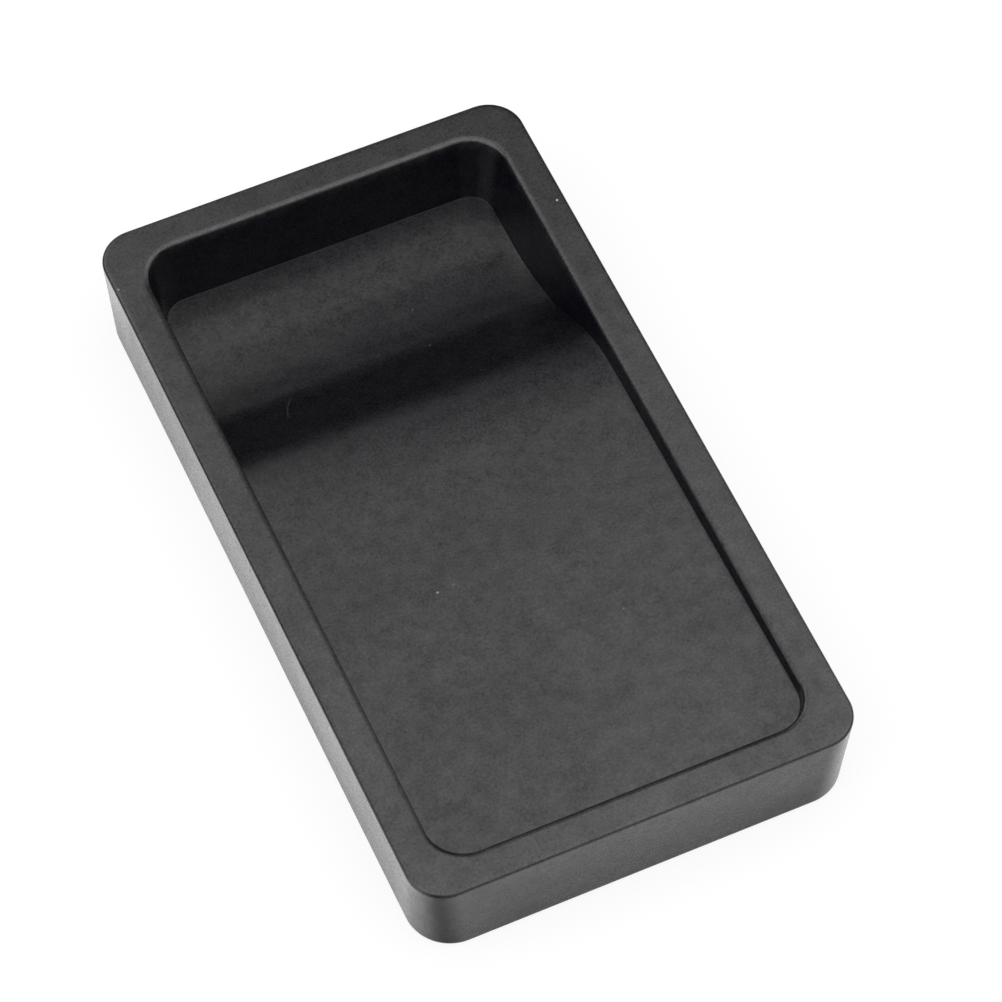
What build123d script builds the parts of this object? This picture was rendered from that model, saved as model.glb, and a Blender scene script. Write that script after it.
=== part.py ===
from build123d import *
import os
from math import radians, tan

# Ink stone: one flat block with a raised rim around a recess. The floor of the recess is a
# shallow grinding surface that tips slightly towards the well, dips a little more at its brow,
# rolls over a crest, slopes down, and runs out along a ramp into the level ink well.
# Frame: +Z up, +Y towards the ink well, origin at the centre of the underside.

# Outer block, with its sides leaning inwards towards the underside
block_length = 135.0
block_width = 75.0
block_height = 18.0
top_corner_radius = 6.2
base_corner_radius = 7.4
side_lean = 0.6
top_edge_radius = 0.7
base_edge_radius = 1.0

# Walls of the recess
rim_width = 5.7
recess_corner_radius = 6.6
recess_wall_draft = 10.5
rim_inner_edge_radius = 0.6
recess_foot_radius = 0.3

# Floor of the recess, from the near rim to the well: lengths are along the stone, and angles are
# downhill from the level
near_depth = 2.1
grinding_length = 70.4
grinding_tilt = 0.8
brow_radius = 150.0
brow_length = 10.9
brow_tilt = 2.8
crest_radius = 27.0
slope_length = 11.8
slope_angle = 28.5
slope_foot_radius = 25.0
ramp_angle = 14.0
ramp_foot_radius = 45.0
well_depth = 12.75

# How far a cutting shape runs past the surface that it cuts
cut_overrun = 3.0

# A face of the hollow belongs to the floor when its normal leans from the level by more than this
# share of straight down, and to a wall when it leans by less
steepest_floor_share = 0.5


def outer_block():
    """The plain block, with round corners and sides that lean inwards towards the underside."""
    base_outline = RectangleRounded(
        block_width - 2 * side_lean,
        block_length - 2 * side_lean,
        base_corner_radius,
    )
    top_outline = Pos(0, 0, block_height) * RectangleRounded(block_width, block_length, top_corner_radius)
    return loft([base_outline, top_outline], ruled=True)


def wall_plug():
    """A drafted plug with the inner walls of the rim as its sides, and the well floor as its end."""
    rim_opening = Pos(0, 0, block_height) * RectangleRounded(
        block_width - 2 * rim_width,
        block_length - 2 * rim_width,
        recess_corner_radius,
    )
    return extrude(rim_opening, amount=-well_depth, taper=recess_wall_draft)


def floor_bends():
    """The bends of the floor line before rounding, each with its place, height and radius."""
    start = (-block_length / 2 + rim_width, block_height - near_depth)
    brow = downhill(start, grinding_length, grinding_tilt)
    crest = downhill(brow, brow_length, brow_tilt)
    slope_foot = downhill(crest, slope_length, slope_angle)
    well_height = block_height - well_depth
    ramp_length = (slope_foot[1] - well_height) / tan(radians(ramp_angle))
    ramp_foot = downhill(slope_foot, ramp_length, ramp_angle)
    return [
        (brow, brow_radius),
        (crest, crest_radius),
        (slope_foot, slope_foot_radius),
        (ramp_foot, ramp_foot_radius),
    ]


def downhill(point, length, angle):
    """The point reached by going so far along the stone from another point, at that angle downhill."""
    return point[0] + length, point[1] - length * tan(radians(angle))


def space_above_floor():
    """All the space above the floor line, as wide as the block."""
    near_y = -block_length / 2
    far_y = block_length / 2
    ceiling = block_height + cut_overrun
    near_height = block_height - near_depth + rim_width * tan(radians(grinding_tilt))
    bends = floor_bends()
    floor_line = [(near_y, near_height)]
    floor_line += [point for point, radius in bends]
    floor_line += [(far_y, block_height - well_depth)]
    side_view = make_face(Polyline(*floor_line, (far_y, ceiling), (near_y, ceiling), close=True))
    for point, radius in bends:
        corner = side_view.vertices().sort_by_distance((*point, 0))[0]
        side_view = fillet(corner, radius)
    return extrude(Plane.YZ * side_view, amount=block_width / 2, both=True)


def recess():
    """The whole hollow, with a small radius all round where its floor meets the walls."""
    hollow = wall_plug() & space_above_floor()
    floor_faces = hollow.faces().filter_by(faces_downwards)
    wall_faces = hollow.faces().filter_by(faces_sideways)
    return fillet(floor_faces.edges() & wall_faces.edges(), recess_foot_radius)


def faces_downwards(face):
    """True for a face of the hollow that becomes part of the floor."""
    return face.normal_at().Z < -steepest_floor_share


def faces_sideways(face):
    """True for a face of the hollow that becomes part of a wall."""
    return abs(face.normal_at().Z) < steepest_floor_share


def stone_block():
    """The finished stone: outer edges eased, recess cut, then the inner edge of the rim eased."""
    block = outer_block()
    block = fillet(block.faces().sort_by(Axis.Z)[0].edges(), base_edge_radius)
    block = fillet(block.faces().sort_by(Axis.Z)[-1].edges(), top_edge_radius)
    block = block - recess()
    rim_top = block.faces().sort_by(Axis.Z)[-1]
    return fillet(rim_top.inner_wires()[0].edges(), rim_inner_edge_radius)


os.makedirs("parts", exist_ok=True)
export_step(stone_block(), "parts/stone_block.step")
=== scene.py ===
import logging
import math
from dataclasses import dataclass, field
from enum import Enum

import bmesh
import bpy
import numpy as np
from bmesh.types import BMesh, BMVert
from bpy.types import Material, Mesh, Node, NodeOutputs, NodeSocket, NodeTree, Object
from mathutils import Matrix, Vector, noise


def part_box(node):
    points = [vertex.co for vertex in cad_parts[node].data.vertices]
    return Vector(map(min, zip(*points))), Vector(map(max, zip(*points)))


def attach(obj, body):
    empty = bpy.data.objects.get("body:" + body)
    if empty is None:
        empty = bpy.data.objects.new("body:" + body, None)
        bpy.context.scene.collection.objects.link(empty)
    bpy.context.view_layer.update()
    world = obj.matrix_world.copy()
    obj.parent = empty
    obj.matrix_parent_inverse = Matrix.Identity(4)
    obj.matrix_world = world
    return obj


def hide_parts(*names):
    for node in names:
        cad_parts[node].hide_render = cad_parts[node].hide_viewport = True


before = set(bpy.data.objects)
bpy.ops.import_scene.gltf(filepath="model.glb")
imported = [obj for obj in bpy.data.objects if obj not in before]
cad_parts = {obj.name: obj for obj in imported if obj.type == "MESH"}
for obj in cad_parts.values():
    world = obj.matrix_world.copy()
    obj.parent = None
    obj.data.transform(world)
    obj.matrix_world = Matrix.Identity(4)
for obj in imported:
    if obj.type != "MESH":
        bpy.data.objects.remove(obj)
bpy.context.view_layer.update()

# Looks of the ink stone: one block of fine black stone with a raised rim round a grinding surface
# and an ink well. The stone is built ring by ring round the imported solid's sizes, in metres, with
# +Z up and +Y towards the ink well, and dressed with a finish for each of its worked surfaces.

MM = 0.001
RIGHT_ANGLE = math.pi / 2
WHITE = (1.0, 1.0, 1.0, 1.0)
DOWN = (0.0, 0.0, -1.0)
STONE_NODE = "stone_block"
WEAR_LAYER = "edge_wear"
# The polish layer also carries painted shade on the stone's side.
POLISH_AND_PAINTED_SHADE_LAYER = "polish"

log = logging.getLogger("ink_stone")


def add_object(name: str, data: object) -> Object:
    """Put a mesh, a lamp or a camera into the scene.

    Args:
        name: name of the object.
        data: the mesh, lamp or camera itself.

    Returns:
        The object that carries it.
    """
    thing = bpy.data.objects.new(name, data)
    bpy.context.scene.collection.objects.link(thing)
    return thing


class Surface(Enum):
    """The worked surfaces of the stone, each with a finish of its own."""

    SIDE = "side"
    RIM = "rim"
    WALL = "wall"
    FLOOR = "floor"
    UNDERSIDE = "underside"


@dataclass(frozen=True)
class NoiseCharacter:
    """How rough a noise texture is, and how far it is stirred."""

    detail: float
    roughness: float
    distortion: float = 0.0


class NodeSheet:
    """A node tree with short ways to add nodes, fill their inputs and link them."""

    def __init__(self, tree: NodeTree) -> None:
        """Take over a tree and empty it.

        Args:
            tree: the node tree of a material, world or group.
        """
        self.tree = tree
        tree.nodes.clear()

    def add(self, kind: str, inputs: dict | None = None, **settings: object) -> Node:
        """Add one node.

        Args:
            kind: Blender's name of the node type.
            inputs: values or sockets for the node's inputs, by name or number.
            **settings: properties of the node itself.

        Returns:
            The new node, with every socket in inputs linked to it.
        """
        node = self.tree.nodes.new(kind)
        for name, value in settings.items():
            setattr(node, name, value)
        for key, value in (inputs or {}).items():
            if isinstance(value, NodeSocket):
                self.tree.links.new(value, node.inputs[key])
            else:
                node.inputs[key].default_value = value
        return node

    def math(self, operation: str, *values: object, clamp: bool = False) -> NodeSocket:
        """Add a Math node.

        Args:
            operation: Blender's name of the operation.
            *values: numbers or sockets, in order.
            clamp: True keeps the result between 0 and 1.

        Returns:
            The socket with the result.
        """
        node = self.add("ShaderNodeMath", dict(enumerate(values)), operation=operation, use_clamp=clamp)
        return node.outputs[0]

    def blend(self, share: object, first: object, second: object) -> NodeSocket:
        """Mix two colours.

        Args:
            share: how much of the second colour shows, a number or a socket.
            first: the colour at share 0.
            second: the colour at share 1.

        Returns:
            The socket with the mixed colour.
        """
        inputs = {0: share, 6: first, 7: second}
        return self.add("ShaderNodeMix", inputs, data_type="RGBA").outputs[2]

    def vector(self, operation: str, first: object, second: object) -> NodeOutputs:
        """Add a Vector Math node and return its outputs."""
        return self.add("ShaderNodeVectorMath", {0: first, 1: second}, operation=operation).outputs

    def noise(self, place: object, scale: object, character: NoiseCharacter) -> NodeSocket:
        """Add a noise texture.

        Args:
            place: where the texture is read.
            scale: how many bumps it has to a unit of place, a number or a socket.
            character: how rough the texture is.

        Returns:
            The socket with the noise, 0.5 on average.
        """
        inputs = {
            "Vector": place,
            "Scale": scale,
            "Detail": character.detail,
            "Roughness": character.roughness,
            "Distortion": character.distortion,
        }
        return self.add("ShaderNodeTexNoise", inputs).outputs["Fac"]

    def soft_step(self, value: object, edges: tuple[float, float]) -> NodeSocket:
        """Turn a value into a mask with a soft edge.

        Args:
            value: a number or a socket.
            edges: the values at which the mask is 0 and 1.

        Returns:
            The socket with the mask.
        """
        inputs = {"Value": value, "From Min": edges[0], "From Max": edges[1]}
        node = self.add("ShaderNodeMapRange", inputs, interpolation_type="SMOOTHSTEP")
        return node.outputs["Result"]


class EffectGroup(NodeSheet):
    """A shader node group with named inputs and outputs, built once and placed in many materials."""

    def __init__(
        self, name: str, places: tuple[str, ...], values: tuple[str, ...], results: tuple[str, ...]
    ) -> None:
        """Make an empty group.

        Args:
            name: what the group does, in plain words.
            places: names of the inputs that take a place.
            values: names of the inputs that take a number.
            results: names of the outputs, all numbers.
        """
        group = bpy.data.node_groups.new(name, "ShaderNodeTree")
        super().__init__(group)
        for label in places:
            group.interface.new_socket(name=label, in_out="INPUT", socket_type="NodeSocketVector")
        for label in values:
            group.interface.new_socket(name=label, in_out="INPUT", socket_type="NodeSocketFloat")
        for label in results:
            group.interface.new_socket(name=label, in_out="OUTPUT", socket_type="NodeSocketFloat")
        self.given = self.add("NodeGroupInput").outputs
        self.result = self.add("NodeGroupOutput")

    def per(self, label: str) -> NodeSocket:
        """How many of a given length fit in a metre."""
        return self.math("DIVIDE", 1.0, self.given[label])

    def turned(self, angle: object, centre: object) -> NodeSocket:
        """Turn the given place about an upright axis.

        Args:
            angle: how far to turn in radians, a number or a socket.
            centre: where the axis stands, a vector or a socket.

        Returns:
            The socket with the turned place.
        """
        inputs = {"Vector": self.given["Place"], "Center": centre, "Angle": angle}
        return self.add("ShaderNodeVectorRotate", inputs, rotation_type="Z_AXIS").outputs["Vector"]

    def give(self, label: str, socket: NodeSocket) -> None:
        """Send a socket to one of the group's outputs."""
        self.tree.links.new(socket, self.result.inputs[label])


class StoneEffects:
    """The node groups that the stone's finishes share."""

    GRAIN_NOISES = (
        ("Grain", NoiseCharacter(3.0, 0.62), 4.0),
        ("Mottle", NoiseCharacter(4.0, 0.6), 3.6),
    )
    SMUDGE_NOISE = NoiseCharacter(2.0, 0.5, 0.6)
    SMUDGE_EDGES = (0.38, 0.66)
    WEAR_NOISE = NoiseCharacter(5.0, 0.66)
    WEAR_BREAKUP = 1.6
    WEAR_EDGES = (0.62, 1.25)
    FLECK_CHANCE = 0.55
    FLECK_SHARPNESS = 3.0
    STROKE_NOISE = NoiseCharacter(3.0, 0.7)
    SPECK_EDGES = (1.0, 0.6)
    SCRATCH_BOW = 0.35
    SCRATCH_FADE = 2.0

    def __init__(self) -> None:
        """Build each group once."""
        self.grain = self._build_grain()
        self.smudges = self._build_smudges()
        self.wear = self._build_wear()
        self.flecks = self._build_flecks()
        self.strokes = self._build_strokes()
        self.speck = self._build_speck()
        self.scratch = self._build_scratch()

    def _build_grain(self) -> NodeTree:
        """Fine grain of the stone over a soft mottle.

        Returns:
            A group that takes a place, a grain size and a mottle size in metres, and puts out
            the grain and the mottle, both about 0 on average and about 1 at their peaks.
        """
        group = EffectGroup("stone_grain", ("Place",), ("Grain Size", "Mottle Size"), ("Grain", "Mottle"))
        for label, character, gain in self.GRAIN_NOISES:
            bumps = group.noise(group.given["Place"], group.per(f"{label} Size"), character)
            group.give(label, group.math("MULTIPLY", group.math("SUBTRACT", bumps, 0.5), gain))
        return group.tree

    def _build_smudges(self) -> NodeTree:
        """Broad soft patches where handling has dulled or polished the stone.

        Returns:
            A group that takes a place and a patch size in metres, and puts out a mask.
        """
        group = EffectGroup("handling_smudges", ("Place",), ("Patch Size",), ("Mask",))
        patches = group.noise(group.given["Place"], group.per("Patch Size"), self.SMUDGE_NOISE)
        group.give("Mask", group.soft_step(patches, self.SMUDGE_EDGES))
        return group.tree

    def _build_wear(self) -> NodeTree:
        """Rubbed edges, broken up so that the wear comes and goes along them.

        Returns:
            A group that takes a place, the closeness of an edge from 0 to 1, and the size of the
            broken patches in metres, and puts out a mask.
        """
        group = EffectGroup("rubbed_edges", ("Place",), ("Closeness", "Patch Size"), ("Mask",))
        patches = group.noise(group.given["Place"], group.per("Patch Size"), self.WEAR_NOISE)
        broken = group.math("MULTIPLY_ADD", patches, self.WEAR_BREAKUP, -self.WEAR_BREAKUP / 2)
        reach = group.math("ADD", group.given["Closeness"], broken)
        group.give("Mask", group.soft_step(reach, self.WEAR_EDGES))
        return group.tree

    def _build_flecks(self) -> NodeTree:
        """Sparse pale mineral specks, each at a random place and of a random size.

        Returns:
            A group that takes a place, the spacing of the specks and their size in metres, and
            puts out a mask.
        """
        group = EffectGroup("pale_flecks", ("Place",), ("Spacing", "Speck Size"), ("Mask",))
        inputs = {"Vector": group.given["Place"], "Scale": group.per("Spacing")}
        cells = group.add("ShaderNodeTexVoronoi", inputs).outputs
        distance = group.math("MULTIPLY", cells["Distance"], group.given["Spacing"])
        chance = group.add("ShaderNodeSeparateColor", {"Color": cells["Color"]}).outputs
        size = group.math("MULTIPLY", group.given["Speck Size"], chance["Red"])
        inside = group.math("SUBTRACT", size, distance)
        shown = group.math("GREATER_THAN", chance["Green"], self.FLECK_CHANCE)
        soft = group.math("DIVIDE", inside, group.given["Speck Size"], clamp=True)
        sharp = group.math("MULTIPLY", soft, self.FLECK_SHARPNESS, clamp=True)
        faint = group.math("MULTIPLY", sharp, chance["Blue"])
        group.give("Mask", group.math("MULTIPLY", faint, shown))
        return group.tree

    def _build_strokes(self) -> NodeTree:
        """Fine parallel strokes that rubbing on an abrasive leaves.

        Returns:
            A group that takes a place, the length and the pitch of the strokes in metres and
            their direction in radians from +Y, and puts out a height about 0 on average.
        """
        group = EffectGroup("rubbing_strokes", ("Place",), ("Length", "Pitch", "Direction"), ("Height",))
        turned = group.turned(group.given["Direction"], (0.0, 0.0, 0.0))
        across = group.per("Pitch")
        stretch = group.add("ShaderNodeCombineXYZ", {"X": across, "Y": group.per("Length"), "Z": across})
        stretched = group.vector("MULTIPLY", turned, stretch.outputs["Vector"])["Vector"]
        strokes = group.noise(stretched, 1.0, self.STROKE_NOISE)
        group.give("Height", group.math("SUBTRACT", strokes, 0.5))
        return group.tree

    def _build_speck(self) -> NodeTree:
        """One pale speck at a chosen place, seen from above.

        Returns:
            A group that takes a place, the middle and the radius of the speck in metres, and puts
            out a mask.
        """
        group = EffectGroup("pale_speck", ("Place", "Middle"), ("Radius",), ("Mask",))
        flat = group.vector("MULTIPLY", group.given["Place"], (1.0, 1.0, 0.0))["Vector"]
        away = group.vector("DISTANCE", flat, group.given["Middle"])["Value"]
        share = group.math("DIVIDE", away, group.given["Radius"])
        group.give("Mask", group.soft_step(share, self.SPECK_EDGES))
        return group.tree

    def _build_scratch(self) -> NodeTree:
        """One hair-thin scratch at a chosen place, a little bowed, fading out at both ends.

        Returns:
            A group that takes a place, the middle, the length and the width of the scratch in
            metres and its direction in radians from +X, and puts out a mask.
        """
        values = ("Direction", "Length", "Width")
        group = EffectGroup("hair_scratch", ("Place", "Middle"), values, ("Mask",))
        back = group.math("MULTIPLY", group.given["Direction"], -1.0)
        turned = group.turned(back, group.given["Middle"])
        offset = group.vector("SUBTRACT", turned, group.given["Middle"])["Vector"]
        part = group.add("ShaderNodeSeparateXYZ", {"Vector": offset}).outputs
        along = group.math("DIVIDE", part["X"], group.given["Length"])
        curve = group.math("MULTIPLY", group.math("MULTIPLY", along, along), group.given["Length"])
        bowed = group.math("MULTIPLY_ADD", curve, self.SCRATCH_BOW, part["Y"])
        across = group.math("DIVIDE", group.math("ABSOLUTE", bowed), group.given["Width"])
        thin = group.math("SUBTRACT", 1.0, across, clamp=True)
        end = group.math("MULTIPLY", group.math("ABSOLUTE", along), 2.0)
        before_end = group.math("SUBTRACT", 1.0, end, clamp=True)
        faded = group.math("MULTIPLY", before_end, self.SCRATCH_FADE, clamp=True)
        group.give("Mask", group.math("MULTIPLY", thin, faded))
        return group.tree


@dataclass(frozen=True)
class Speck:
    """One pale speck in the stone, by its middle seen from above, its radius and its strength."""

    middle: tuple[float, float]
    radius: float
    strength: float


@dataclass(frozen=True)
class Scratch:
    """One hair-thin scratch, by its middle seen from above, direction, length and width."""

    middle: tuple[float, float]
    direction: float
    length: float
    width: float
    strength: float


@dataclass(frozen=True)
class StoneFinish:
    """How one worked surface of the stone looks: its tone, its grain and how it was rubbed.

    Sizes, spacings and reliefs are in metres. The stone's tone lies tone_middle of the way from
    tone to pale_tone, and its mottle and grain push it to either side.
    """

    name: str
    tone: tuple[float, float, float] = (0.0024, 0.0025, 0.0031)
    pale_tone: tuple[float, float, float] = (0.0150, 0.0150, 0.0162)
    worn_tone: tuple[float, float, float] = (0.030, 0.0295, 0.030)
    fleck_tone: tuple[float, float, float] = (0.34, 0.33, 0.31)
    refraction: float = 1.45
    roughness: float = 0.30
    roughness_spread: float = 0.05
    polish: float = 0.5
    polish_spread: float = 0.34
    polish_refraction: float = 1.5
    polish_roughness: float = 0.28
    grain_size: float = 0.46 * MM
    grain_relief: float = 0.0045 * MM
    mottle_size: float = 2.4 * MM
    mottle_relief: float = 0.0080 * MM
    smudge_size: float = 21.0 * MM
    smudge_roughness: float = -0.035
    stroke_length: float = 9.0 * MM
    stroke_pitch: float = 0.16 * MM
    stroke_direction: float = 0.0
    stroke_relief: float = 0.0008 * MM
    tone_middle: float = 0.26
    tone_mottle: float = 0.16
    tone_grain: float = 0.34
    polish_mottle: float = 0.85
    smudge_polish: float = 0.12
    wear_patch: float = 1.6 * MM
    wear_share: float = 0.35
    worn_roughness: float = -0.08
    fleck_spacing: float = 9.0 * MM
    fleck_size: float = 0.14 * MM
    specks: tuple[Speck, ...] = ()
    scratches: tuple[Scratch, ...] = ()

    def material(self, effects: StoneEffects) -> Material:
        """Build the finish as a material.

        Args:
            effects: the node groups that all finishes share.

        Returns:
            The finished material.
        """
        sheet = FinishSheet(self, effects)
        shader = sheet.add(
            "ShaderNodeBsdfPrincipled",
            {
                "Base Color": sheet.colour(),
                "Roughness": sheet.roughness(),
                "IOR": self.refraction,
                "Coat Weight": sheet.polish(),
                "Coat Roughness": self.polish_roughness,
                "Coat IOR": self.polish_refraction,
                "Normal": sheet.relief(),
            },
        )
        sheet.add("ShaderNodeOutputMaterial", {"Surface": shader.outputs["BSDF"]})
        return sheet.material


class FinishSheet(NodeSheet):
    """The nodes of one finish, with the shared effects placed at the finish's own values."""

    def __init__(self, finish: StoneFinish, effects: StoneEffects) -> None:
        """Make the material, and place the effects that more than one of its inputs uses.

        Args:
            finish: the values of the finish.
            effects: the node groups that all finishes share.
        """
        self.material = bpy.data.materials.new(finish.name)
        self.material.use_nodes = True
        super().__init__(self.material.node_tree)
        self.finish = finish
        self.effects = effects
        self.place = self.add("ShaderNodeTexCoord").outputs["Object"]
        sizes = {"Grain Size": finish.grain_size, "Mottle Size": finish.mottle_size}
        self.grain = self._effect(effects.grain, sizes)
        self.smudge = self._effect(effects.smudges, {"Patch Size": finish.smudge_size})["Mask"]
        closeness = self._layer(WEAR_LAYER)
        wear = self._effect(effects.wear, {"Closeness": closeness, "Patch Size": finish.wear_patch})
        self.worn = self.math("MULTIPLY", wear["Mask"], finish.wear_share)

    def _layer(self, name: str) -> NodeSocket:
        """Read a layer that is stored at the points of the mesh."""
        return self.add("ShaderNodeAttribute", attribute_name=name).outputs["Fac"]

    def _effect(self, group: NodeTree, inputs: dict) -> NodeOutputs:
        """Place a shared group, fill its inputs and return its outputs."""
        return self.add("ShaderNodeGroup", {"Place": self.place, **inputs}, node_tree=group).outputs

    def colour(self) -> NodeSocket:
        """Mix the stone's tones.

        Returns:
            The socket with the surface colour.
        """
        finish = self.finish
        mottled = self.math("MULTIPLY_ADD", self.grain["Mottle"], finish.tone_mottle, finish.tone_middle)
        speckled = self.math("MULTIPLY_ADD", self.grain["Grain"], finish.tone_grain, mottled, clamp=True)
        ground = self.blend(speckled, (*finish.tone, 1.0), (*finish.pale_tone, 1.0))
        rubbed = self.blend(self.worn, ground, (*finish.worn_tone, 1.0))
        return self.blend(self._marks(), rubbed, (*finish.fleck_tone, 1.0))

    def _marks(self) -> NodeSocket:
        """Lay the finish's own specks and scratches over the scattered flecks.

        Returns:
            The socket with the mask of all pale marks.
        """
        finish = self.finish
        sizes = {"Spacing": finish.fleck_spacing, "Speck Size": finish.fleck_size}
        pale = self._effect(self.effects.flecks, sizes)["Mask"]
        for speck in finish.specks:
            inputs = {"Middle": (*speck.middle, 0.0), "Radius": speck.radius}
            mask = self._effect(self.effects.speck, inputs)["Mask"]
            pale = self.math("MAXIMUM", pale, self.math("MULTIPLY", mask, speck.strength))
        for scratch in finish.scratches:
            inputs = {
                "Middle": (*scratch.middle, 0.0),
                "Direction": scratch.direction,
                "Length": scratch.length,
                "Width": scratch.width,
            }
            mask = self._effect(self.effects.scratch, inputs)["Mask"]
            pale = self.math("MAXIMUM", pale, self.math("MULTIPLY", mask, scratch.strength))
        return pale

    def polish(self) -> NodeSocket:
        """Cover the stone with its honed skin, which the pores between the grains break up, and which the
        polish layer thins, on the side as painted shade.

        Returns:
            The socket with the weight of the skin.
        """
        finish = self.finish
        speckle = self.math("MULTIPLY_ADD", self.grain["Mottle"], finish.polish_mottle, self.grain["Grain"])
        broken = self.math("MULTIPLY_ADD", speckle, finish.polish_spread, finish.polish)
        handled = self.math("MULTIPLY_ADD", self.smudge, finish.smudge_polish, broken)
        return self.math("MULTIPLY", self._layer(POLISH_AND_PAINTED_SHADE_LAYER), handled, clamp=True)

    def roughness(self) -> NodeSocket:
        """Vary the dullness of the surface.

        Returns:
            The socket with the roughness.
        """
        finish = self.finish
        grained = self.math("MULTIPLY_ADD", self.grain["Grain"], finish.roughness_spread, finish.roughness)
        handled = self.math("MULTIPLY_ADD", self.smudge, finish.smudge_roughness, grained)
        return self.math("MULTIPLY_ADD", self.worn, finish.worn_roughness, handled, clamp=True)

    def relief(self) -> NodeSocket:
        """Raise the grain, the mottle and the rubbing strokes.

        Returns:
            The socket with the normal.
        """
        finish = self.finish
        inputs = {
            "Length": finish.stroke_length,
            "Pitch": finish.stroke_pitch,
            "Direction": finish.stroke_direction,
        }
        strokes = self._effect(self.effects.strokes, inputs)["Height"]
        fine = self.math("MULTIPLY", self.grain["Grain"], finish.grain_relief)
        broad = self.math("MULTIPLY_ADD", self.grain["Mottle"], finish.mottle_relief, fine)
        height = self.math("MULTIPLY_ADD", strokes, finish.stroke_relief, broad)
        bump = self.add("ShaderNodeBump", {"Strength": 1.0, "Distance": 1.0, "Height": height})
        return bump.outputs["Normal"]


class RoundedOutline:
    """Points round a rounded rectangle, numbered alike at every size, anticlockwise from above.

    Each point is a corner centre times a share, plus the corner radius along an outward direction,
    so rings of any size made from it join up point by point.
    """

    DIGITS = 9

    def __init__(self, side_steps: int, end_steps: int, corner_steps: int) -> None:
        """Lay out the points.

        Args:
            side_steps: faces along each long side.
            end_steps: faces along each short end.
            corner_steps: faces round each corner.
        """
        self.side_steps = side_steps
        self.end_steps = end_steps
        shares, directions = [], []
        for quarter in range(4):
            heading = quarter * RIGHT_ANGLE
            outward = np.array([math.cos(heading), math.sin(heading)]).round(self.DIGITS)
            along = np.array([-outward[1], outward[0]])
            steps = side_steps if quarter % 2 == 0 else end_steps
            for share in np.linspace(-1.0, 1.0, steps + 1):
                shares.append(outward + along * share)
                directions.append(outward)
            for step in range(1, corner_steps):
                turn = heading + RIGHT_ANGLE * step / corner_steps
                shares.append(outward + along)
                directions.append(np.array([math.cos(turn), math.sin(turn)]))
        self.shares = np.array(shares)
        self.directions = np.array(directions)

    def ring(self, centre: tuple[float, float], radius: object, height: object) -> np.ndarray:
        """Make one ring of points.

        Args:
            centre: place of the far right corner's centre, in x and y.
            radius: corner radius, one for all points or one for each.
            height: height of the ring, one for all points or one for each.

        Returns:
            An array with a row of x, y and z for each point.
        """
        count = len(self.shares)
        reach = np.broadcast_to(radius, count)[:, None]
        flat = self.shares * np.array(centre) + self.directions * reach
        return np.column_stack([flat, np.broadcast_to(height, count)])

    def grid(self, centre: tuple[float, float]) -> np.ndarray:
        """Make the grid that fills the rectangle between the corner centres.

        Args:
            centre: place of the far right corner's centre, in x and y.

        Returns:
            An array of x and y, row by row along +Y.
        """
        across = np.linspace(-1.0, 1.0, self.end_steps + 1) * centre[0]
        along = np.linspace(-1.0, 1.0, self.side_steps + 1) * centre[1]
        x, y = np.meshgrid(across, along)
        return np.column_stack([x.ravel(), y.ravel()])

    def grid_place(self) -> np.ndarray:
        """Find the grid point that each outline point's corner centre falls on.

        Returns:
            The number of the grid point, for each outline point.
        """
        column = np.rint((self.shares[:, 0] + 1.0) / 2.0 * self.end_steps).astype(int)
        row = np.rint((self.shares[:, 1] + 1.0) / 2.0 * self.side_steps).astype(int)
        return row * (self.end_steps + 1) + column


@dataclass(frozen=True)
class FloorRun:
    """One straight run of the recess floor, with the radius of the bend at its far end."""

    length: float
    downhill: float
    bend_radius: float


@dataclass(frozen=True)
class FloorBend:
    """One rounded bend in the side view of the recess floor. Grades are angles, downhill negative."""

    y: float
    z: float
    grade_before: float
    grade_after: float
    radius: float

    @property
    def reach(self) -> float:
        """Distance from the sharp bend to where the round begins, along either side of it."""
        return self.radius * math.tan(abs(self.grade_after - self.grade_before) / 2)

    @property
    def start(self) -> float:
        """Where along y the round begins."""
        return self.y - self.reach * math.cos(self.grade_before)

    @property
    def end(self) -> float:
        """Where along y the round ends."""
        return self.y + self.reach * math.cos(self.grade_after)

    def height(self, y: np.ndarray) -> np.ndarray:
        """Height of the round.

        Args:
            y: places along the floor, between start and end.

        Returns:
            The height at each place.
        """
        side = 1.0 if self.grade_after < self.grade_before else -1.0
        centre_y = self.start + side * self.radius * math.sin(self.grade_before)
        start_z = self.z - self.reach * math.sin(self.grade_before)
        centre_z = start_z - side * self.radius * math.cos(self.grade_before)
        inside = np.clip(self.radius**2 - (y - centre_y) ** 2, 0.0, None)
        return centre_z + side * np.sqrt(inside)


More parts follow.
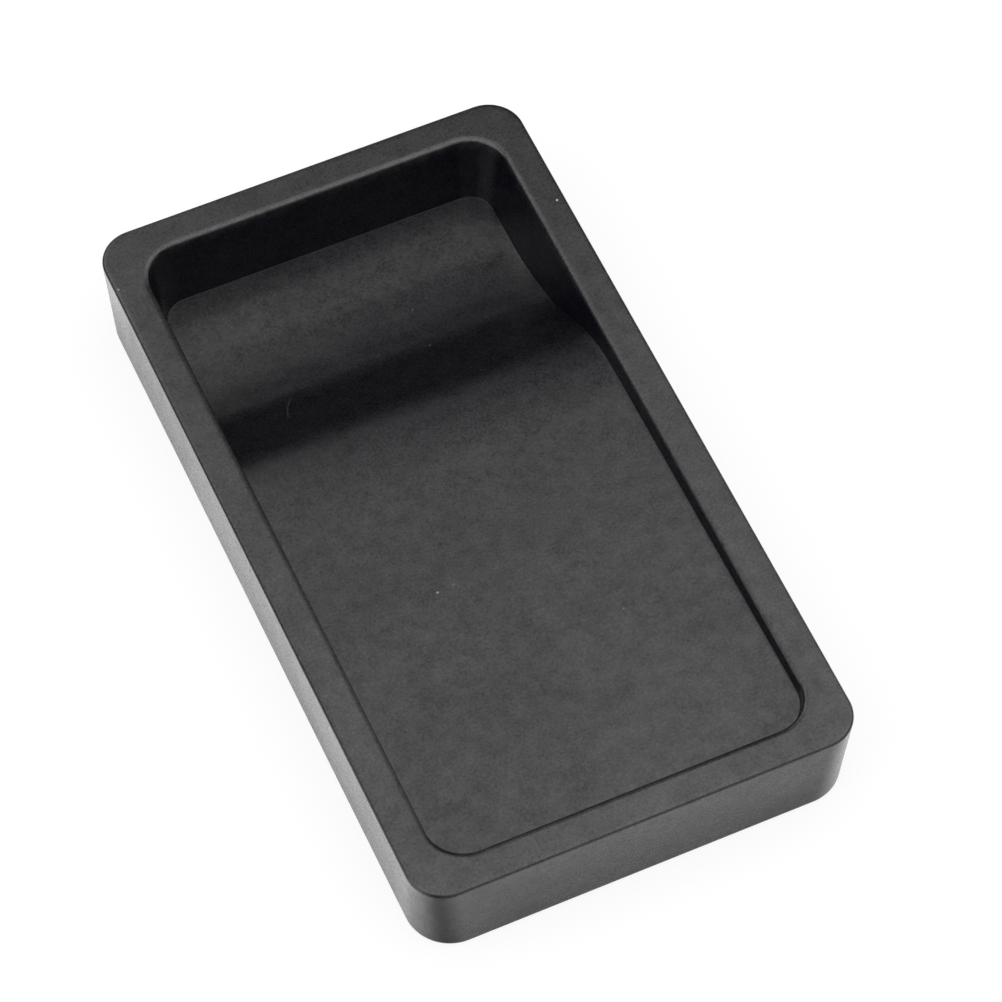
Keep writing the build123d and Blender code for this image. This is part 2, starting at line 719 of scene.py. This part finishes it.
@dataclass(frozen=True)
class EasedEdge:
    """Cross-section of an eased edge: a slow roll-off of the flat, then its radius down to the side."""

    radius: float
    roll_radius: float
    roll_angle: float
    turn: float

    def across(self, angle: float) -> float:
        """How far along the flat the edge has come, from where its roll-off begins.

        Args:
            angle: how far the edge has turned down from the flat.

        Returns:
            The distance along the flat.
        """
        rolled = min(angle, self.roll_angle)
        tight = math.sin(angle) - math.sin(rolled)
        return self.roll_radius * math.sin(rolled) + self.radius * tight

    def drop(self, angle: float) -> float:
        """How far below the flat the edge has come.

        Args:
            angle: how far the edge has turned down from the flat.

        Returns:
            The distance below the flat.
        """
        rolled = min(angle, self.roll_angle)
        tight = math.cos(rolled) - math.cos(angle)
        return self.roll_radius * (1.0 - math.cos(rolled)) + self.radius * tight

    @property
    def reach(self) -> float:
        """Distance from the sharp edge back to where the roll-off begins."""
        return self.across(self.turn) - self.drop(self.turn) / math.tan(self.turn)

    def stations(self, roll_steps: int, edge_steps: int) -> list[tuple[float, float]]:
        """Angles at which to cut the edge.

        Args:
            roll_steps: faces across the roll-off.
            edge_steps: faces round the radius.

        Returns:
            Each angle, with how close it is to the radius, from 0 to 1.
        """
        rolling = np.linspace(0.0, self.roll_angle, roll_steps + 1)[:-1]
        tight = np.linspace(self.roll_angle, self.turn, edge_steps + 1)
        return [(angle, angle / self.roll_angle) for angle in rolling] + [(angle, 1.0) for angle in tight]


@dataclass
class Ring:
    """One ring of the stone's skin, with the surface that lies between it and the ring before."""

    points: np.ndarray
    surface: Surface
    wear: float = 0.0
    polish: float = 1.0


@dataclass
class StoneBlock:
    """The ink stone: one block with a rim, a grinding surface, a crest, a slope and an ink well."""

    length: float
    width: float
    height: float
    side_lean: float = 0.6 * MM
    top_corner_radius: float = 6.2 * MM
    base_corner_radius: float = 7.4 * MM
    top_edge_radius: float = 0.4 * MM
    base_edge_radius: float = 1.0 * MM
    rim_width: float = 5.7 * MM
    recess_corner_radius: float = 6.6 * MM
    wall_draft: float = math.radians(10.5)
    rim_inner_edge_radius: float = 0.6 * MM
    recess_foot_radius: float = 0.08 * MM
    outer_roll: tuple[float, float] = (3.0 * MM, math.radians(10.0))
    inner_roll: tuple[float, float] = (2.2 * MM, math.radians(18.0))
    near_depth: float = 2.1 * MM
    grinding: FloorRun = FloorRun(70.4 * MM, math.radians(0.8), 150.0 * MM)
    brow: FloorRun = FloorRun(10.9 * MM, math.radians(2.8), 27.0 * MM)
    slope: FloorRun = FloorRun(11.8 * MM, math.radians(28.5), 25.0 * MM)
    ramp_angle: float = math.radians(14.0)
    ramp_foot_radius: float = 45.0 * MM
    well_depth: float = 12.75 * MM
    wear_reach: float = 0.45 * MM
    sag_depth: float = 0.035 * MM
    sag_pitch: float = 16.0 * MM
    foot_polish: float = 0.8
    # Painted shade: the side's polish is thinned round these headings, at the near left corner and on the
    # near face, so that they read darker.
    painted_shade_corner_heading: float = math.radians(-120.0)
    painted_shade_corner_spread: float = math.radians(15.0)
    painted_shade_near_dullness: float = 0.18
    painted_shade_near_heading: float = math.radians(-90.0)
    painted_shade_near_spread: float = math.radians(12.0)
    side_steps: int = 150
    end_steps: int = 60
    corner_steps: int = 20
    edge_steps: int = 7
    roll_steps: int = 3
    foot_settling_rounds: int = 6
    wall_finish_angle: float = math.radians(45.0)
    underside_shares: tuple[float, ...] = (0.2, 0.4, 0.6, 0.8, 0.93, 0.985, 1.0)
    side_shares: tuple[float, ...] = (0.02, 0.08, 0.2, 0.4, 0.6, 0.8, 0.92, 0.98)
    rim_shares: tuple[float, ...] = (0.25, 0.5, 0.75)
    wall_shares: tuple[float, ...] = (0.04, 0.15, 0.35, 0.6, 0.85, 0.96)
    floor_shares: tuple[float, ...] = (0.985, 0.93, 0.8, 0.6, 0.4, 0.2)
    outline: RoundedOutline = field(init=False)
    lean_angle: float = field(init=False)
    outer_edge: EasedEdge = field(init=False)
    inner_edge: EasedEdge = field(init=False)
    half_width: float = field(init=False)
    half_length: float = field(init=False)

    def __post_init__(self) -> None:
        """Work out the sharp outline from the rounded one, and lay out the points round it."""
        self.outline = RoundedOutline(self.side_steps, self.end_steps, self.corner_steps)
        self.lean_angle = math.atan(self.side_lean / self.height)
        outer_turn = RIGHT_ANGLE + self.lean_angle
        self.outer_edge = EasedEdge(self.top_edge_radius, *self.outer_roll, outer_turn)
        inner_turn = RIGHT_ANGLE - self.wall_draft
        self.inner_edge = EasedEdge(self.rim_inner_edge_radius, *self.inner_roll, inner_turn)
        lost = self.outer_edge.reach - self.outer_edge.across(RIGHT_ANGLE)
        self.half_width = self.width / 2 + lost
        self.half_length = self.length / 2 + lost

    def build(self, finishes: dict[Surface, Material]) -> Object:
        """Make the stone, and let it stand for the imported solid.

        Args:
            finishes: the material of each worked surface.

        Returns:
            The finished piece.
        """
        rings = [*self._underside_rings(), *self._side_rings(), *self._rim_rings()]
        rings += [*self._wall_rings(), *self._floor_rings()]
        mesh = self._skin(rings, list(finishes))
        for material in finishes.values():
            mesh.materials.append(material)
        stone = add_object("ink_stone", mesh)
        even = stone.modifiers.new("even_shading", "WEIGHTED_NORMAL")
        even.keep_sharp = True
        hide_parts(STONE_NODE)
        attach(stone, "root")
        return stone

    def _side_centre(self, height: float) -> tuple[tuple[float, float], float]:
        """Corner centre and corner radius of the leaning outer side.

        Args:
            height: height above the underside.

        Returns:
            The centre of the far right corner, and the radius there.
        """
        drop = 1.0 - height / self.height
        radius = self.top_corner_radius + (self.base_corner_radius - self.top_corner_radius) * drop
        inset = self.side_lean * drop + radius
        return (self.half_width - inset, self.half_length - inset), radius

    def _wear_beside(self, distance: float) -> float:
        """How worn the stone is at a distance from an edge."""
        return math.exp(-distance / self.wear_reach)

    def _underside_rings(self) -> list[Ring]:
        """The flat underside out to its rounded edge.

        Returns:
            The rings, in order from the middle of the underside to the recess floor.
        """
        reach = self.base_edge_radius * math.tan((RIGHT_ANGLE - self.lean_angle) / 2)
        centre, radius = self._side_centre(0.0)
        edge = radius - reach
        rings = []
        for share in self.underside_shares:
            wear = self._wear_beside(edge * (1.0 - share))
            rings.append(Ring(self.outline.ring(centre, edge * share, 0.0), Surface.UNDERSIDE, wear))
        return rings

    def _side_rings(self) -> list[Ring]:
        """The rounded lower edge, the leaning side and the eased upper edge.

        Returns:
            The rings, in order from the middle of the underside to the recess floor.
        """
        rings = []
        turn = RIGHT_ANGLE - self.lean_angle
        reach = self.base_edge_radius * math.tan(turn / 2)
        centre, radius = self._side_centre(0.0)
        for angle in np.linspace(0.0, turn, self.edge_steps + 1)[1:]:
            out = radius - reach + self.base_edge_radius * math.sin(angle)
            height = self.base_edge_radius * (1.0 - math.cos(angle))
            polish = self.foot_polish * angle / turn
            rings.append(Ring(self.outline.ring(centre, out, height), Surface.SIDE, 1.0, polish))
        lower = rings[-1].points
        centre, radius = self._side_centre(self.height)
        mouth = radius - self.outer_edge.reach
        upper_rings = []
        for angle, wear in reversed(self.outer_edge.stations(self.roll_steps, self.edge_steps)):
            surface = Surface.SIDE if wear == 1.0 else Surface.RIM
            out = mouth + self.outer_edge.across(angle)
            height = self.height - self.outer_edge.drop(angle)
            upper_rings.append(Ring(self.outline.ring(centre, out, height), surface, wear))
        upper = upper_rings[0].points
        for share in self.side_shares:
            wear = self._wear_beside(min(share, 1.0 - share) * self.height)
            polish = self.foot_polish + (1.0 - self.foot_polish) * share
            rings.append(Ring(lower + (upper - lower) * share, Surface.SIDE, wear, polish))
        return rings + upper_rings

    def _rim_rings(self) -> list[Ring]:
        """The flat top of the rim, up to where its inner edge begins to roll off.

        Returns:
            The rings, in order from the middle of the underside to the recess floor.
        """
        centre, radius = self._side_centre(self.height)
        outer = self.outline.ring(centre, radius - self.outer_edge.reach, self.height)
        mouth = self.recess_corner_radius + self.inner_edge.reach
        inner = self.outline.ring(self._recess_centre(), mouth, self.height)
        return [Ring(outer + (inner - outer) * share, Surface.RIM) for share in self.rim_shares]

    def _recess_centre(self) -> tuple[float, float]:
        """Centre of the recess's far right corner, the same at every depth."""
        inset = self.rim_width + self.recess_corner_radius
        return (self.half_width - inset, self.half_length - inset)

    def _foot_depth(self) -> np.ndarray:
        """Find where the drafted wall meets the floor.

        The wall's foot lies further in the deeper it is, and the floor's depth depends on where
        the foot lies, so the two settle in a few rounds.

        Returns:
            The depth of the sharp foot of the wall below the rim, at each point of the outline.
        """
        depth = np.full(len(self.outline.shares), self.well_depth)
        for _ in range(self.foot_settling_rounds):
            radius = self.recess_corner_radius - depth * math.tan(self.wall_draft)
            y = self.outline.ring(self._recess_centre(), radius, 0.0)[:, 1]
            depth = self.height - self.floor_height(y)
        return depth

    def _foot_end(self, depth: np.ndarray) -> np.ndarray:
        """How far from the corner centre the foot's radius ends in the floor, by the wall's depth."""
        reach = self.recess_foot_radius * math.tan((RIGHT_ANGLE - self.wall_draft) / 2)
        return self.recess_corner_radius - depth * math.tan(self.wall_draft) - reach

    def _wall_rings(self) -> list[Ring]:
        """The eased inner edge of the rim, the drafted wall and the radius along its foot.

        Returns:
            The rings, in order from the middle of the underside to the recess floor.
        """
        rings = []
        centre = self._recess_centre()
        mouth = self.recess_corner_radius + self.inner_edge.reach
        for angle, wear in self.inner_edge.stations(self.roll_steps, self.edge_steps):
            surface = Surface.WALL if angle > self.wall_finish_angle else Surface.RIM
            radius = mouth - self.inner_edge.across(angle)
            height = self.height - self.inner_edge.drop(angle)
            rings.append(Ring(self.outline.ring(centre, radius, height), surface, wear))
        upper = rings[-1].points
        foot = self.recess_foot_radius
        depth = self._foot_depth()
        foot_end = self._foot_end(depth)
        foot_rings = []
        # Painted shade: the radius along the wall's foot has no polish, so its highlight is taken out and
        # the crease reads dark.
        for angle in np.linspace(self.wall_draft, RIGHT_ANGLE, self.edge_steps + 1):
            radius = foot_end + foot * math.cos(angle)
            height = self.height - depth + foot * (1.0 - math.sin(angle))
            foot_rings.append(Ring(self.outline.ring(centre, radius, height), Surface.WALL, polish=0.0))
        lower = foot_rings[0].points
        for share in self.wall_shares:
            wear = self._wear_beside(share * self.near_depth)
            rings.append(Ring(upper + (lower - upper) * share, Surface.WALL, wear))
        return rings + foot_rings

    def _floor_rings(self) -> list[Ring]:
        """The floor of the recess, from the foot of the wall in to the corner centres.

        Returns:
            The rings, in order from the middle of the underside to the recess floor.
        """
        edge = self._foot_end(self._foot_depth())
        rings = []
        for share in self.floor_shares:
            points = self.outline.ring(self._recess_centre(), edge * share, 0.0)
            points[:, 2] = self.floor_height(points[:, 1])
            rings.append(Ring(points, Surface.FLOOR))
        return rings

    def floor_height(self, y: np.ndarray) -> np.ndarray:
        """Height of the recess floor above the underside.

        Args:
            y: places along the stone.

        Returns:
            The height at each place.
        """
        bends = self._floor_bends()
        height = bends[0].z + (y - bends[0].y) * math.tan(bends[0].grade_before)
        for bend in bends:
            beyond = bend.z + (y - bend.y) * math.tan(bend.grade_after)
            height = np.select([y >= bend.end, y > bend.start], [beyond, bend.height(y)], height)
        return height

    def _floor_bends(self) -> list[FloorBend]:
        """Work out the floor's side view from its runs.

        Returns:
            The bends, from the brow of the grinding surface to the well.
        """
        y = -self.half_length + self.rim_width
        z = self.height - self.near_depth
        bends = []
        runs = (self.grinding, self.brow, self.slope)
        grades_after = (self.brow.downhill, self.slope.downhill, self.ramp_angle)
        for run, after in zip(runs, grades_after):
            y += run.length
            z -= run.length * math.tan(run.downhill)
            bends.append(FloorBend(y, z, -run.downhill, -after, run.bend_radius))
        well = self.height - self.well_depth
        y += (z - well) / math.tan(self.ramp_angle)
        bends.append(FloorBend(y, well, -self.ramp_angle, 0.0, self.ramp_foot_radius))
        return bends

    def _skin(self, rings: list[Ring], surfaces: list[Surface]) -> Mesh:
        """Join the rings into one closed skin.

        Args:
            rings: the rings in order, from the middle of the underside to the recess floor.
            surfaces: the surfaces in the order of the mesh's materials.

        Returns:
            The mesh, with the wear and the polish, which on the side carries painted shade, stored at its
            points.
        """
        builder = bmesh.new()
        wear_layer = builder.verts.layers.float.new(WEAR_LAYER)
        polish_layer = builder.verts.layers.float.new(POLISH_AND_PAINTED_SHADE_LAYER)
        # The side's polish cover carries painted shade at the near left corner and on the near face.
        painted_shade_cover = self._painted_shade_polish_cover()
        number = {surface: place for place, surface in enumerate(surfaces)}
        rows = []
        for ring in rings:
            row = [builder.verts.new(self._sagged(*point)) for point in ring.points]
            for point, unshaded_polish in zip(row, painted_shade_cover):
                point[wear_layer] = ring.wear
                point[polish_layer] = ring.polish * (unshaded_polish if ring.surface is Surface.SIDE else 1.0)
            rows.append(row)
        under_centre, _ = self._side_centre(0.0)
        under_grid = self.outline.grid(under_centre)
        floor_grid = self.outline.grid(self._recess_centre())
        under = [builder.verts.new((x, y, 0.0)) for x, y in under_grid]
        floor_z = self.floor_height(floor_grid[:, 1])
        floor = [builder.verts.new(self._sagged(x, y, z)) for (x, y), z in zip(floor_grid, floor_z)]
        for point in (*under, *floor):
            point[polish_layer] = 1.0
        place = self.outline.grid_place()
        under_row = [under[i] for i in place]
        floor_row = [floor[i] for i in place]
        bands = list(zip([under_row, *rows], [*rows, floor_row]))
        for (lower, upper), ring in zip(bands, [*rings, rings[-1]]):
            self._join(builder, lower, upper, number[ring.surface])
        self._fill(builder, under, number[Surface.UNDERSIDE], upwards=False)
        self._fill(builder, floor, number[Surface.FLOOR], upwards=True)
        mesh = bpy.data.meshes.new("ink_stone")
        builder.to_mesh(mesh)
        builder.free()
        mesh.shade_smooth()
        return mesh

    def _sagged(self, x: float, y: float, z: float) -> tuple[float, float, float]:
        """Lower a point by a hair where rubbing by hand has left the stone not quite flat.

        Args:
            x: place of the point across the stone.
            y: place of the point along the stone.
            z: height of the point, which sags in proportion to it.

        Returns:
            The point's place after sagging.
        """
        unevenness = noise.noise(Vector((x, y, 0.0)) / self.sag_pitch)
        return (x, y, z * (1.0 - self.sag_depth / self.height * (1.0 + unevenness) / 2.0))

    def _painted_shade_polish_cover(self) -> np.ndarray:
        """Lay the polish round the side, with painted shade: thinner on the near face and gone at the near
        left corner, so that these read darker.

        Returns:
            How far the polish covers the side, from 0 to 1, at each outline point.
        """
        heading = np.arctan2(self.outline.directions[:, 1], self.outline.directions[:, 0])
        from_shaded_corner = (heading - self.painted_shade_corner_heading) / self.painted_shade_corner_spread
        from_shaded_near_face = (heading - self.painted_shade_near_heading) / self.painted_shade_near_spread
        painted_shade_depth = np.exp(-(from_shaded_corner**2) / 2) + self.painted_shade_near_dullness * np.exp(-(from_shaded_near_face**2) / 2)
        return np.clip(1.0 - painted_shade_depth, 0.0, 1.0)

    @staticmethod
    def _join(builder: BMesh, lower: list[BMVert], upper: list[BMVert], material: int) -> None:
        """Join two rows of points with faces, as triangles where two points of a row are one.

        Args:
            builder: the mesh in the making.
            lower: the row nearer the underside.
            upper: the row nearer the recess floor.
            material: number of the faces' material.
        """
        count = len(lower)
        for i in range(count):
            j = (i + 1) % count
            corners = dict.fromkeys([lower[i], lower[j], upper[j], upper[i]])
            face = builder.faces.new(list(corners))
            face.material_index = material

    def _fill(self, builder: BMesh, grid: list[BMVert], material: int, upwards: bool) -> None:
        """Fill the grid between the corner centres with faces.

        Args:
            builder: the mesh in the making.
            grid: the grid's points, row by row.
            material: number of the faces' material.
            upwards: True where the faces look up.
        """
        columns = self.end_steps + 1
        for row in range(self.side_steps):
            for column in range(self.end_steps):
                first = row * columns + column
                corners = [grid[first], grid[first + 1], grid[first + columns + 1], grid[first + columns]]
                face = builder.faces.new(corners if upwards else corners[::-1])
                face.material_index = material


@dataclass(frozen=True)
class Softbox:
    """One flat soft studio lamp, lit on the face that looks along its facing."""

    name: str
    place: tuple[float, float, float]
    facing: tuple[float, float, float]
    width: float
    height: float
    radiance: float

    def build(self) -> Object:
        """Hang the lamp.

        Returns:
            The lamp's object.
        """
        lamp = bpy.data.lights.new(self.name, "AREA")
        lamp.shape = "RECTANGLE"
        lamp.size = self.width
        lamp.size_y = self.height
        lamp.energy = self.radiance * math.pi * self.width * self.height
        softbox = add_object(self.name, lamp)
        softbox.location = self.place
        softbox.rotation_mode = "QUATERNION"
        softbox.rotation_quaternion = Vector(self.facing).to_track_quat("-Z", "Y")
        softbox.visible_camera = False
        return softbox


@dataclass(frozen=True)
class Studio:
    """A pale floor under plain soft light."""

    floor_span: float = 6.0
    floor_tone: tuple[float, float, float] = (0.93, 0.93, 0.93)
    clean_floor_share: float = 0.85
    floor_gap: float = 0.02 * MM
    fill_radiance: float = 0.025
    under_radiance: float = 0.9
    contact_reach: float = 0.1 * MM
    softboxes: tuple[Softbox, ...] = (
        Softbox("overhead", (0.0, -0.275, 1.0), DOWN, 2.0, 1.45, 1.9),
        Softbox("far_left", (-0.275, 0.86, 1.0), DOWN, 0.85, 0.5, 2.0),
        Softbox("far_right", (0.55, 0.55, 1.0), DOWN, 0.9, 0.2, 1.65),
        Softbox("back", (-0.55, 1.39, 1.0), DOWN, 1.9, 0.78, 0.65),
        Softbox("left_side", (-1.2, -0.2, 0.45), (1.0, 0.0, 0.0), 1.6, 0.9, 2.5),
        Softbox("right_side", (1.2, -0.1, 0.4), (-1.0, 0.0, 0.0), 1.6, 0.8, 0.9),
        Softbox("near_side", (0.0, -1.3, 0.45), (0.0, 1.0, 0.0), 2.0, 0.7, 1.35),
    )

    def build(self) -> None:
        """Lay the floor, set the world's light and hang the lamps."""
        self._floor()
        self._world()
        for softbox in self.softboxes:
            softbox.build()

    def _floor(self) -> None:
        """A wide flat floor, clean white with the stone's shadow from above, clear from below."""
        half = self.floor_span / 2
        mesh = bpy.data.meshes.new("pale_floor")
        corners = [(-half, -half, 0.0), (half, -half, 0.0), (half, half, 0.0), (-half, half, 0.0)]
        mesh.from_pydata(corners, [], [(0, 1, 2, 3)])
        floor = add_object("pale_floor", mesh)
        floor.location.z = -self.floor_gap
        material = bpy.data.materials.new("pale_floor")
        material.use_nodes = True
        sheet = NodeSheet(material.node_tree)
        matt = sheet.add("ShaderNodeBsdfDiffuse", {"Color": (*self.floor_tone, 1.0)})
        clean = sheet.add("ShaderNodeEmission", {"Color": WHITE, "Strength": 1.0})
        ray = sheet.add("ShaderNodeLightPath").outputs
        share = sheet.math("MULTIPLY", ray["Is Camera Ray"], self.clean_floor_share)
        mixed = sheet.add("ShaderNodeMixShader", {0: share, 1: matt.outputs[0], 2: clean.outputs[0]})
        below = sheet.add("ShaderNodeNewGeometry").outputs["Backfacing"]
        touching = sheet.math("LESS_THAN", ray["Ray Length"], self.contact_reach)
        through = sheet.math("MAXIMUM", below, touching)
        clear = sheet.add("ShaderNodeBsdfTransparent")
        sided = sheet.add("ShaderNodeMixShader", {0: through, 1: mixed.outputs[0], 2: clear.outputs[0]})
        sheet.add("ShaderNodeOutputMaterial", {"Surface": sided.outputs[0]})
        mesh.materials.append(material)

    def _world(self) -> None:
        """A dim fill above and a bright one below, seen by the camera as a white backdrop."""
        world = bpy.data.worlds.new("studio")
        world.use_nodes = True
        sheet = NodeSheet(world.node_tree)
        direction = sheet.add("ShaderNodeTexCoord").outputs["Generated"]
        height = sheet.add("ShaderNodeSeparateXYZ", {"Vector": direction}).outputs["Z"]
        below = sheet.math("LESS_THAN", height, 0.0)
        strength = sheet.math("MULTIPLY_ADD", below, self.under_radiance, self.fill_radiance)
        fill = sheet.add("ShaderNodeBackground", {"Color": WHITE, "Strength": strength})
        white = sheet.add("ShaderNodeBackground", {"Color": WHITE, "Strength": 1.0})
        seen = sheet.add("ShaderNodeLightPath").outputs["Is Camera Ray"]
        mixed = sheet.add("ShaderNodeMixShader", {0: seen, 1: fill.outputs[0], 2: white.outputs[0]})
        sheet.add("ShaderNodeOutputWorld", {"Surface": mixed.outputs[0]})
        bpy.context.scene.world = world
        bpy.context.scene.view_settings.view_transform = "Standard"


@dataclass(frozen=True)
class PhotoCamera:
    """The camera at the photograph's place. Angles are in degrees."""

    azimuth: float = -24.15
    elevation: float = 57.41
    roll: float = -0.12
    distance: float = 784.66 * MM
    aim_right: float = 5.43 * MM
    aim_up: float = 6.28 * MM
    lens: float = 173.9
    sensor: float = 36.0
    nearest: float = 10.0 * MM

    def build(self) -> Object:
        """Set the camera up and make it the scene's camera.

        Returns:
            The camera object.
        """
        azimuth, elevation = math.radians(self.azimuth), math.radians(self.elevation)
        away = math.cos(elevation)
        back = Vector((math.sin(azimuth) * away, -math.cos(azimuth) * away, math.sin(elevation)))
        level = Vector((math.cos(azimuth), math.sin(azimuth), 0.0))
        upright = back.cross(level)
        roll = math.radians(self.roll)
        right = level * math.cos(roll) + upright * math.sin(roll)
        up = upright * math.cos(roll) - level * math.sin(roll)
        data = bpy.data.cameras.new("photo_camera")
        data.lens = self.lens
        data.sensor_width = self.sensor
        data.clip_start = self.nearest
        camera = add_object("photo_camera", data)
        place = right * self.aim_right + up * self.aim_up + back * self.distance
        axes = Matrix((right, up, back)).transposed().to_4x4()
        camera.matrix_world = Matrix.Translation(place) @ axes
        bpy.context.scene.camera = camera
        return camera


def stone_finishes(effects: StoneEffects) -> dict[Surface, Material]:
    """The finish of each worked surface of the stone.

    Args:
        effects: the node groups that all finishes share.

    Returns:
        The material of each surface.
    """
    finishes = {
        Surface.SIDE: StoneFinish(
            "polished_side",
            refraction=1.2,
            polish=0.84,
            polish_spread=0.22,
            polish_refraction=1.47,
            polish_roughness=0.18,
        ),
        Surface.RIM: StoneFinish(
            "honed_rim",
            specks=(
                Speck((35.95 * MM, 44.04 * MM), 0.24 * MM, 1.6),
                Speck((-36.75 * MM, 57.06 * MM), 0.2 * MM, 0.8),
            ),
        ),
        Surface.WALL: StoneFinish(
            "recess_wall_painted_shade",
            # Painted shade: the wall's tones, darker and bluer than the rim's though the stone is one,
            # stand in for the shade inside the recess.
            tone=(0.0010, 0.0012, 0.0026),
            pale_tone=(0.0040, 0.0044, 0.0072),
            refraction=1.36,
            roughness=0.24,
            polish=0.2,
            polish_spread=0.2,
        ),
        Surface.FLOOR: StoneFinish(
            "ground_floor",
            tone=(0.0010, 0.0009, 0.0019),
            pale_tone=(0.0070, 0.0068, 0.0104),
            roughness=0.29,
            polish=0.42,
            specks=(
                Speck((-12.1 * MM, -15.8 * MM), 0.24 * MM, 0.7),
                Speck((-9.2 * MM, -15.5 * MM), 0.14 * MM, 0.5),
                Speck((13.3 * MM, -30.6 * MM), 0.16 * MM, 0.5),
                Speck((7.83 * MM, 32.57 * MM), 0.18 * MM, 0.25),
            ),
            scratches=(
                Scratch((-18.65 * MM, 29.96 * MM), math.radians(65.0), 6.4 * MM, 0.2 * MM, 0.07),
            ),
        ),
        Surface.UNDERSIDE: StoneFinish(
            "rough_underside",
            roughness=0.55,
            polish_roughness=0.5,
        ),
    }
    return {surface: finish.material(effects) for surface, finish in finishes.items()}


def main() -> None:
    """Build the studio, the camera and the stone."""
    logging.basicConfig(level=logging.INFO, format="%(name)s: %(message)s")
    Studio().build()
    log.info("studio ready")
    PhotoCamera().build()
    log.info("camera ready")
    low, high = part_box(STONE_NODE)
    size = high - low
    stone = StoneBlock(length=size.y, width=size.x, height=size.z)
    piece = stone.build(stone_finishes(StoneEffects()))
    log.info("%s: %d faces", piece.name, len(piece.data.polygons))


if __name__ == "__main__":
    main()
